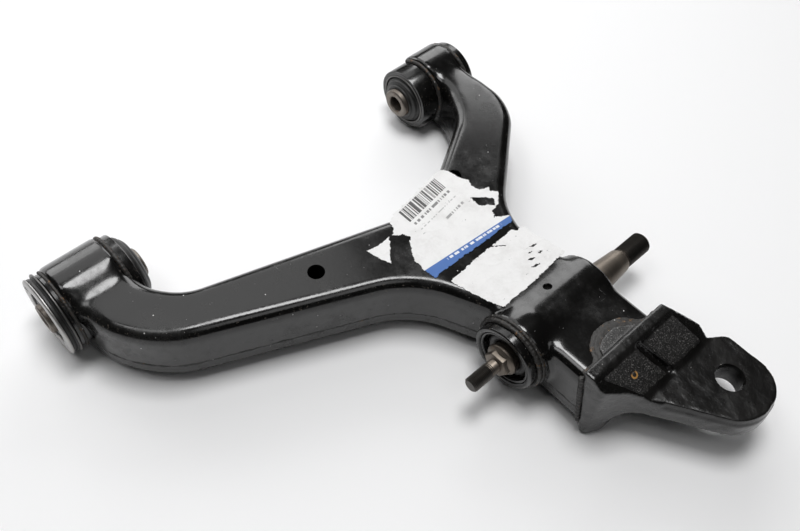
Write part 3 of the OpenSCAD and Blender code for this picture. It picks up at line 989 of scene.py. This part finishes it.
# %% Thread helper
def thread(major, pitch, start, end, axis_x, chamfer_start=0.0, chamfer_end=0.0):
    depth = 0.61 * pitch
    turns = int((end - start) / pitch) + 4
    deselect()
    bpy.ops.mesh.primitive_circle_add(vertices=3, radius=MM, fill_type="NOTHING")
    piece = bpy.context.object
    first = start - 2 * pitch
    edit(piece)
    choose(piece, "VERT", lambda p: p.y < 0 and p.x > 0)
    bpy.ops.mesh.delete(type="VERT")
    leave()
    ends = (Vector((axis_x + major - depth, first, 0)), Vector((axis_x + major, first + pitch / 2, 0)))
    for vertex, place in zip(piece.data.vertices, ends):
        vertex.co = place * MM
    edit(piece)
    choose(piece, "VERT", lambda p: abs(p.y - first - pitch / 2) < 0.01)
    bpy.ops.mesh.extrude_vertices_move(
        TRANSFORM_OT_translate={"value": (-depth * MM, pitch / 2 * MM, 0)})
    leave()
    only(piece)
    bpy.context.scene.cursor.location = (axis_x * MM, 0, 0)
    bpy.ops.object.origin_set(type="ORIGIN_CURSOR")
    bpy.context.scene.cursor.location = (0, 0, 0)
    modify(piece, "SCREW", axis="Y", angle=math.tau, screw_offset=pitch * MM, iterations=turns,
           steps=40, render_steps=40, use_merge_vertices=True, merge_threshold=0.01 * MM)
    only(piece)
    bpy.ops.object.transform_apply(location=True, rotation=True, scale=True)
    outward(piece)
    cut(piece, (0, start, 0), (0, -1, 0))
    cut(piece, (0, end, 0), (0, 1, 0))
    outward(piece)
    envelope = turned([
        (major - chamfer_start + 0.001, start - 0.01), (major + 0.01, start + chamfer_start),
        (major + 0.01, end - chamfer_end), (major - chamfer_end + 0.001, end + 0.01),
    ], axis_x, False, 0)
    return combine(piece, envelope, "INTERSECT")


# %% Stud
HEX_Y = 180.3
STUD_START, STUD_END = 154.5, 352.3
shank = turned([
    (5.0, 172.0), (5.6, 173.5), (5.6, 180.6), (11.4, 185.4), (12.6, 186.1), (13.2, 187.0), (13.2, 188.6),
    (12.5, 189.3), (12.2, 190.2), (12.2, 283.4), (12.9, 284.0), (13.0, 285.0), (9.95, 321.6), (9.7, 323.2),
    (8.4, 324.6), (8.2, 328.0),
], STUD_X, False, 0.15)
hexagon = turned(
    [(10.3, HEX_Y), (10.97, HEX_Y + 0.7), (10.97, 185.0), (10.97, 186.9)], STUD_X, False, 0.35, 6)
edit(hexagon)
bpy.ops.mesh.select_all(action="SELECT")
bpy.ops.transform.rotate(
    value=math.radians(30), orient_axis="Y", center_override=(STUD_X * MM, HEX_Y * MM, 0))
leave()
thin_thread = thread(6.0, 1.25, STUD_START, 175.2, STUD_X, 1.3, 0.4)
thick_thread = thread(9.0, 1.5, 325.2, STUD_END, STUD_X, 0.9, 1.7)
stud = joined([shank, hexagon])
ready(stud, "damper_stud_shank", "damper_stud", STUD_STEEL, 30, body="damper_pin")
threads = joined([thin_thread, thick_thread])
ready(threads, "damper_stud_threads", "damper_stud", THREAD_STEEL, 25, body="damper_pin")

# %% [markdown]
# ## Forged bracket
#
# The bracket starts as rough blocks: a wedge whose section is drawn and pushed along
# the axis, trimmed to its plan, with the groove and far flank cut away, and a tongue in
# two halves with draft on each side of the parting line. The blocks are fused and
# softened, then the skin is pushed about a little, because a hammered forging is never
# flat. The hole is machined last, so its edge stays crisp.

# %% Bracket blocks
ARM_END_X = 298.0


def flange_x(z):
    return ARM_END_X + (ARM_TOP - z) * math.tan(END_LEAN)


TONGUE_TOP, TONGUE_LOW = 10.6, -10.4
BRACKET_CORNERS = [
    (296, 205.5, 1), (315, 205.5, 7), (330, 231, 30), (402, 276, 30), (396, 324.4, 27),
    (342, 324.4, 9), (333, 311, 9), (296, 309, 4),
]
FLANGE_SECTION = [
    (flange_x(31), 31), (flange_x(33) + 1.5, 33), (305.5, 33), (308, 31), (334, 12.4),
    (337, 10.4), (346, 8.2), (346, -10.4), (338, -10.4), (330, -13), (325, -18), (322, -25),
    (322.5, -33), (321, -37), (317, -38.5), (311, -36), (flange_x(-31), -31),
]


def section_block(points, start, end):
    """A block with an x-z section, pushed along Y."""
    deselect()
    bpy.ops.mesh.primitive_circle_add(vertices=len(points), radius=MM, fill_type="NGON")
    piece = bpy.context.object
    for vertex, (x, z) in zip(piece.data.vertices, points):
        vertex.co = Vector((x, start, z)) * MM
    edit(piece)
    bpy.ops.mesh.select_all(action="SELECT")
    bpy.ops.mesh.extrude_region_move(TRANSFORM_OT_translate={"value": (0, (end - start) * MM, 0)})
    leave()
    return outward(piece)


def box_cutter(corner, size, tilt=0.0, turn=0.0, drop=0.0, lean=0.0):
    """A box from its low corner, tilted about Y and X and turned about Z at a point."""
    deselect()
    bpy.ops.mesh.primitive_cube_add(size=1)
    piece = bpy.context.object
    for vertex in piece.data.vertices:
        place = Vector([(vertex.co[i] + 0.5) * size[i] for i in range(3)]) + Vector((drop, 0, 0))
        spin = Matrix.Rotation(turn, 3, "Z") @ Matrix.Rotation(tilt, 3, "Y") @ Matrix.Rotation(lean, 3, "X")
        vertex.co = (spin @ place + Vector(corner)) * MM
    return outward(piece)


wedge = section_block(FLANGE_SECTION, 205.5, 309)
combine(wedge, outline_solid(BRACKET_CORNERS, 60, -60), "INTERSECT")
groove = box_cutter((309.5, 250.2, 27.6), (60, 5.2, 20), math.radians(35.6), math.radians(27), -3)
combine(wedge, groove, "DIFFERENCE")
far_flank = box_cutter((290, 289.5, 33), (70, 40, 40), 0, math.radians(12), 0, math.radians(-52))
combine(wedge, far_flank, "DIFFERENCE")
tongue = outline_solid(BRACKET_CORNERS, TONGUE_TOP - 6.2, TONGUE_LOW, 10)
draft = outline_solid(BRACKET_CORNERS, TONGUE_TOP, TONGUE_TOP - 7, 10)
for half in (tongue, draft):
    cut(half, (333, 0, 0), (-1, 0, 0))


def drafted(p, normal):
    """The upper half stands back from the parting line, more towards its top."""
    side = Vector((normal.x, normal.y, 0))
    return side * (-2.4 if p.z > TONGUE_TOP - 1 else -0.9) if side.length > 0.2 else (0, 0, 0)


edit(draft)
bpy.ops.mesh.select_all(action="SELECT")
bpy.ops.mesh.normals_make_consistent(inside=False)
leave()
moved(draft, drafted)
LOBE_CORNERS = [
    (303, 227, 0), (303, 269.5, 0), (294, 265, 8), (286, 253, 10), (286.3, 240, 9), (291.5, 229, 6),
]
lobe = outline_solid(LOBE_CORNERS, ARM_TOP + 3.6, ARM_TOP - 1.0, 6)
bracket = skin([wedge, tongue, draft, lobe], 1.15)
print("bracket skin:", len(bracket.data.polygons), "faces")

# %% Forged skin
HOLE_X, HOLE_Y, HOLE_R = 364.9, 294.4, 10.8


def forged(p, normal):
    slope = fade(p.z, 11, 13) * fade(p.x, 301, 306) * fade(p.x, 341, 335) * fade(normal.z, 0.2, 0.5)
    lumps = noise.noise(p / 7.0) * 0.32 + noise.noise(p / 2.7) * 0.22 * (0.35 + slope)
    ragged = noise.noise(p / 1.7 + Vector((3, 9, 1))) * 0.3 * slope
    return normal * (lumps + ragged - 0.12)


moved(bracket, forged)
deselect()
bpy.ops.mesh.primitive_cylinder_add(
    vertices=96, radius=HOLE_R * MM, depth=60 * MM, location=(HOLE_X * MM, HOLE_Y * MM, 0))
drill = bpy.context.object
bpy.ops.object.transform_apply(location=True, rotation=True, scale=True)
edit(drill)
for height in (TONGUE_TOP - 0.7, TONGUE_LOW + 0.7):
    bpy.ops.mesh.select_all(action="SELECT")
    bpy.ops.mesh.bisect(plane_co=(0, 0, height * MM), plane_no=(0, 0, 1))
choose(drill, "VERT", lambda p: abs(p.z) > 29)
bpy.ops.transform.resize(value=(1.9, 1.9, 1), center_override=(HOLE_X * MM, HOLE_Y * MM, 0))
leave()
outward(drill)
combine(bracket, drill, "DIFFERENCE")
ready(bracket, "forged_bracket", "ball_joint_bracket", FORGED_PAINT, 50)

# %% [markdown]
# ## Weld beads
#
# A bead is a row of overlapping scallops left by the moving pool. Each one is a curve
# with a round section, turned into a mesh and then pushed in and out along its length:
# a steep step and a slow fall for each scallop, curved back at its sides, plus noise.
# A fine remesh closes the ends and melts double passes together.

# %% Bead helper


def bead(path, radius, pitch=3.4, depth=0.32, rough=0.35, voxel=0.55, seed=0.0):
    """A weld bead along points in mm."""
    deselect()
    bpy.ops.curve.primitive_nurbs_path_add()
    rail = bpy.context.object
    curve = rail.data
    curve.splines.clear()
    spline = curve.splines.new("POLY")
    spline.points.add(len(path) - 1)
    for point, place in zip(spline.points, path):
        point.co = (*(Vector(place) * MM), 1)
    curve.dimensions = "3D"
    curve.bevel_depth = radius * MM
    curve.bevel_resolution = 3
    curve.use_fill_caps = True
    rail.location = (0, 0, 0)
    only(rail)
    bpy.ops.object.convert(target="MESH")
    piece = bpy.context.object
    bpy.ops.object.transform_apply(location=True, rotation=True, scale=True)
    outward(piece)
    modify(piece, "REMESH", mode="VOXEL", voxel_size=voxel * MM)
    stations = np.array(path, float)
    steps = np.linalg.norm(np.diff(stations, axis=0), axis=1)
    run = np.concatenate(([0.0], np.cumsum(steps)))
    directions = np.gradient(stations, axis=0)
    directions /= np.linalg.norm(directions, axis=1)[:, None]

    def scalloped(p, normal):
        place = np.array(p)
        near = int(np.argmin(((stations - place) ** 2).sum(1)))
        offset = place - stations[near]
        along = run[near] + float(offset @ directions[near])
        side = np.linalg.norm(offset - (offset @ directions[near]) * directions[near])
        phase = (along + 0.35 * side * side / radius + 0.5 * noise.noise(p / 8)) / pitch + seed
        phase -= math.floor(phase)
        step = (1 - phase) if phase > 0.22 else phase / 0.22 * 0.78
        jitter = noise.noise(p / 1.6 + Vector((seed, 0, 0))) + noise.noise(p / 5.0 + Vector((0, seed, 3)))
        return normal * (depth * (step - 0.5) + rough * jitter * 0.5)

    return moved(piece, scalloped)


def ring_path(radius, station, start, sweep, axis_x=0.0, spacing=0.9):
    """Points on a circle about an axis along Y, in degrees from +X towards +Z."""
    count = max(8, int(math.radians(abs(sweep)) * radius / spacing))
    points = []
    for step in range(count + 1):
        angle = math.radians(start + sweep * step / count)
        points.append((axis_x + radius * math.cos(angle), station, radius * math.sin(angle)))
    return points


# %% Beads at the pivot eyes
near_bead = bead(ring_path(31.1, -25.6, -30, 168), 1.35, 3.0, 0.2, 0.3, seed=0.2)
far_bead = bead(ring_path(31.3, 21.4, -20, 158), 1.9, 3.2, 0.35, 0.5, seed=0.6)
large_welds = joined([near_bead, far_bead])
ready(large_welds, "large_eye_beads", "large_eye_weld", HOT_WELD, 60)
near_small = bead(ring_path(27.9, 335.6, -60, 190), 1.8, 3.2, 0.35, 0.5, seed=0.4)
far_small = bead(ring_path(27.9, 369.8, -60, 190), 1.8, 3.2, 0.35, 0.5, seed=0.8)
small_welds = joined([near_small, far_small])
ready(small_welds, "small_eye_beads", "small_eye_weld", HOT_WELD, 60)

# %% Beads at the damper eye
first_pass = bead(ring_path(28.3, 196.4, 0, 359, STUD_X), 2.1, 3.6, 0.45, 0.6, 0.6, seed=0.1)
second_pass = bead(ring_path(29.4, 199.3, -40, 215, STUD_X), 1.7, 3.1, 0.4, 0.6, 0.6, seed=0.5)
damper_welds = joined([first_pass, second_pass])
ready(damper_welds, "damper_eye_beads", "damper_eye_weld", WELD_METAL, 60)


# %% Beads at the bracket
def end_point(along_z, y):
    """A point where the arm's leaning end meets the flange."""
    return (flange_x(along_z) - 0.6, y, along_z)


def line(first, last, spacing=0.9):
    first, last = Vector(first), Vector(last)
    count = max(2, int((last - first).length / spacing))
    return [tuple(first.lerp(last, step / count)) for step in range(count + 1)]


BOTTOM = ARM_BOTTOM - 0.4
end_path = (
    line(end_point(25.5, 205.4), end_point(-24, 205.4))
    + line(end_point(-25.5, 206), end_point(BOTTOM, 212))[1:]
    + line(end_point(BOTTOM, 213), end_point(BOTTOM, 279))
    + line(end_point(BOTTOM, 280), end_point(-25.5, 285))[1:]
    + line(end_point(-24, 285.6), end_point(25.5, 285.6))
)
end_bead = bead(end_path, 2.1, 3.8, 0.5, 0.7, 0.65, seed=0.3)
ready(end_bead, "bracket_end_bead", "bracket_weld", WELD_METAL, 60)

WELD_CORNERS = [
    (303, 208, 0), (303, 291, 0), (297, 289, 4), (295.5, 275, 10), (283, 264, 16), (278.6, 250, 14),
    (279, 238, 12), (286, 226, 12), (295.5, 222, 7), (294, 208, 2),
]
MIDDLE_CORNERS = [
    (303, 212, 0), (303, 286, 0), (299, 284, 4), (297.5, 272, 8), (287, 260.5, 12), (282.3, 250, 10),
    (282.6, 239, 10), (288.5, 228, 9), (298, 225, 5), (297, 212, 2),
]
fillet = [
    outline_solid(WELD_CORNERS, ARM_TOP + 0.9, ARM_TOP - 0.6, 6),
    outline_solid(MIDDLE_CORNERS, ARM_TOP + 2.2, ARM_TOP - 0.6, 6),
]
lobe_bead = skin(fillet, 0.8)
modify(lobe_bead, "SMOOTH", factor=0.5, iterations=6)


def laid(p, normal):
    """Slow swells along the weld, and pits at its edge."""
    edge = noise.noise(p / 4.5) * 0.5 + noise.noise(p / 1.8) * 0.4
    return normal * (0.15 + edge * 0.7)


moved(lobe_bead, laid)
ready(lobe_bead, "bracket_lobe_bead", "bracket_lobe_weld", LOBE_WELD, 60)

# %% [markdown]
# ## Paper labels
#
# The labels have been picked at, so their edges are torn and their corners lift. A fine
# grid is laid over each, and the squares outside a given outline, moved a little
# by noise, are deleted. That gives a ragged edge at the size of paper fibre. The rest
# is wrinkled and given the paper's thickness.

# %% Label helper


def inside_outline(x, y, corners):
    inside = False
    for index, (x1, y1) in enumerate(corners):
        x0, y0 = corners[index - 1]
        if (y0 > y) != (y1 > y) and x < (x1 - x0) * (y - y0) / (y1 - y0) + x0:
            inside = not inside
    return inside


def label(outlines, tears, cell=0.62, raggedness=1.0, lift=0.5, seed=0.0):
    xs = [corner[0] for outline in outlines for corner in outline]
    ys = [corner[1] for outline in outlines for corner in outline]
    low, high = Vector((min(xs) - 2, min(ys) - 2)), Vector((max(xs) + 2, max(ys) + 2))
    size = high - low
    deselect()
    bpy.ops.mesh.primitive_grid_add(
        x_subdivisions=int(size.x / cell), y_subdivisions=int(size.y / cell), size=MM)
    piece = bpy.context.object
    for vertex in piece.data.vertices:
        share = vertex.co / MM + Vector((0.5, 0.5, 0))
        vertex.co = Vector((low.x + share.x * size.x, low.y + share.y * size.y, ARM_TOP + 0.06)) * MM

    def torn_away(p):
        shift = Vector((noise.noise(Vector((p.x / 3.2, p.y / 3.2, seed))),
                        noise.noise(Vector((p.x / 3.2, p.y / 3.2, seed + 5))))) * 1.1 * raggedness
        shift += Vector((noise.noise(Vector((p.x / 0.9, p.y / 0.9, seed))),
                         noise.noise(Vector((p.x / 0.9, p.y / 0.9, seed + 5))))) * 0.45 * raggedness
        x, y = p.x + shift.x, p.y + shift.y
        if any(inside_outline(x, y, tear) for tear in tears):
            return True
        return not any(inside_outline(x, y, outline) for outline in outlines)

    edit(piece)
    choose(piece, "FACE", torn_away)
    bpy.ops.mesh.delete(type="FACE")
    leave()

    def wrinkled(p, normal):
        wave = noise.noise(Vector((p.x / 16, p.y / 9, seed + 2))) * 0.5 + 0.5
        crease = 1 - abs(noise.noise(Vector((p.x / 11, p.y / 15, seed + 8)))) * 5
        return (0, 0, lift * (0.25 * wave + 0.3 * max(0.0, crease) ** 3))

    moved(piece, wrinkled)
    modify(piece, "SOLIDIFY", thickness=0.16 * MM, offset=1)
    return outward(piece)


# %% Printed label
PRINTED_OUTLINE = [
    (122, 190), (126, 196), (131, 200), (136, 195), (150, 187), (160.5, 186), (171, 187.5), (171.6, 270.5),
    (166.5, 273), (160, 262), (155, 266), (152, 275), (147, 281), (144, 283.5), (139, 279), (136, 281.5),
    (133, 274), (126, 272), (121, 274.5), (112, 270), (103, 268.5), (97.5, 265), (99, 250), (104, 225),
    (107, 205), (111, 197), (117, 196),
]
PRINTED_TEARS = [
    [(134, 262), (144, 262), (152, 271), (148, 276), (142, 273), (138, 267)],
    [(126, 191), (134, 196), (140, 191), (132, 186)],
]
printed_label = label([PRINTED_OUTLINE], PRINTED_TEARS, 0.62, 0.9, 0.5, 1.0)
ready(printed_label, "bar_label", "barcode_label", PRINTED_PAPER, 30)

# %% Blank label and scrap
BLANK_OUTLINE = [
    (181, 194), (190, 196), (203, 199.5), (216, 204), (222.5, 207), (221.5, 240), (219.5, 262), (218.5, 279),
    (205, 277), (190, 273.5), (181, 273), (177.5, 268), (178, 240), (179.5, 212),
]
BLANK_TEARS = [[(176, 262), (181, 266), (180, 276), (174, 276)]]
for tear_x, tear_y, reach, girth in (
    (198.5, 264.9, 4.2, 1.1), (206.3, 254.6, 3.4, 1.5), (206.0, 264.5, 3.0, 0.9), (212.5, 252.4, 4.4, 1.3),
    (201.5, 258.0, 2.0, 0.9), (210.0, 270.5, 2.4, 0.9),
):
    BLANK_TEARS.append([
        (tear_x - 0.3 * reach, tear_y - 0.95 * reach), (tear_x + girth, tear_y - 0.2 * reach),
        (tear_x + 0.3 * reach, tear_y + 0.95 * reach), (tear_x - girth * 0.6, tear_y + 0.2 * reach),
    ])
BLANK_TEARS.append([(176.5, 238), (177.3, 237.5), (185.8, 249.2), (185.0, 249.8)])
blank_label = label([BLANK_OUTLINE], BLANK_TEARS, 0.6, 0.7, 0.45, 4.0)
ready(blank_label, "plain_paper_label", "plain_label", BLANK_PAPER, 30)
SCRAP_OUTLINE = [(120, 165.5), (131, 168), (140.5, 171.5), (134, 176), (129, 181), (121, 187.5), (122, 176)]
scrap = label([SCRAP_OUTLINE], [], 0.4, 0.8, 0.5, 7.0)
ready(scrap, "torn_scrap", "label_scrap", BLANK_PAPER, 30)

# %% [markdown]
# ## Light and floor
#
# A strong softbox hangs above: it draws the bright line along the near rounded edge.
# Two large panels stand to the left and behind, low down; they grey the tops of the legs
# and throw the shadows towards the viewer. Three weak ones lift what faces neither. The
# room is otherwise dark, so black paint stays black where no lamp is mirrored in it, and
# the white floor fills the sides from below. Light adds up, so one trial picture per
# lamp was enough to fit the strengths, which were then adjusted by hand. The floor
# leans by a degree and a half, because the arm rests on its bracket's lip, the large
# bush's flange and the small eye's cradle.

# %% Sky
world = bpy.data.worlds.new("sky")
bpy.context.scene.world = world
world.use_nodes = True
world.node_tree.nodes["Background"].inputs["Color"].default_value = (0.97, 0.985, 1.0, 1)
world.node_tree.nodes["Background"].inputs["Strength"].default_value = 0.012


# %% Lamps
ARM_MIDDLE = Vector((0.18, 0.17, 0))


def softbox(name, towards, distance, width, height, radiance):
    lamp = bpy.data.lights.new(name, "AREA")
    lamp.shape = "RECTANGLE"
    lamp.size = width
    lamp.size_y = height
    lamp.energy = radiance * math.pi * width * height
    holder = bpy.data.objects.new(name, lamp)
    direction = Vector(towards).normalized()
    holder.location = ARM_MIDDLE + direction * distance
    holder.rotation_euler = direction.to_track_quat("Z", "Y").to_euler()
    bpy.context.scene.collection.objects.link(holder)
    return holder


LAMPS = (  # name, direction, distance, width, height in metres, radiance
    ("overhead_softbox", (-0.1, 0.1, 0.99), 2.2, 0.85, 0.85, 12.5),
    ("low_left_panel", (-0.93, 0.0, 0.36), 3.2, 2.0, 1.5, 3.0),
    ("back_left_panel", (-0.6, 0.65, 0.47), 3.2, 1.7, 1.5, 3.5),
    ("left_fill", (-0.66, 0.1, 0.75), 2.6, 1.7, 1.5, 1.35),
    ("near_fill", (-0.2, -0.35, 0.91), 2.2, 0.85, 0.6, 4.0),
    ("right_fill", (0.5, -0.1, 0.86), 2.4, 0.9, 0.9, 1.2),
)
for lamp in LAMPS:
    softbox(*lamp)
print("lamps:", len(LAMPS))

# %% Floor
FLOOR_SIZE = 4.0
FLOOR_GAP = 0.3
deselect()
bpy.ops.mesh.primitive_plane_add(size=FLOOR_SIZE)
floor = bpy.context.object
floor.name = "floor"
RESTS = [Vector((317, 250, -38.6)), Vector((0, -30.8, -33.15)), Vector((8, 345, -30.45))]
lean = (RESTS[1] - RESTS[0]).cross(RESTS[2] - RESTS[0]).normalized()
lean = -lean if lean.z < 0 else lean
for vertex in floor.data.vertices:
    x, y = vertex.co.x / MM, vertex.co.y / MM
    drop = RESTS[0].z - ((x - RESTS[0].x) * lean.x + (y - RESTS[0].y) * lean.y) / lean.z
    vertex.co = Vector((x, y, drop - FLOOR_GAP)) * MM
net = Finish("floor")
net.set(Base_Color=(0.93, 0.93, 0.935, 1), Roughness=0.6)
floor.data.materials.append(net.material)
print("floor leans", round(math.degrees(math.acos(lean.z)), 2), "degrees")
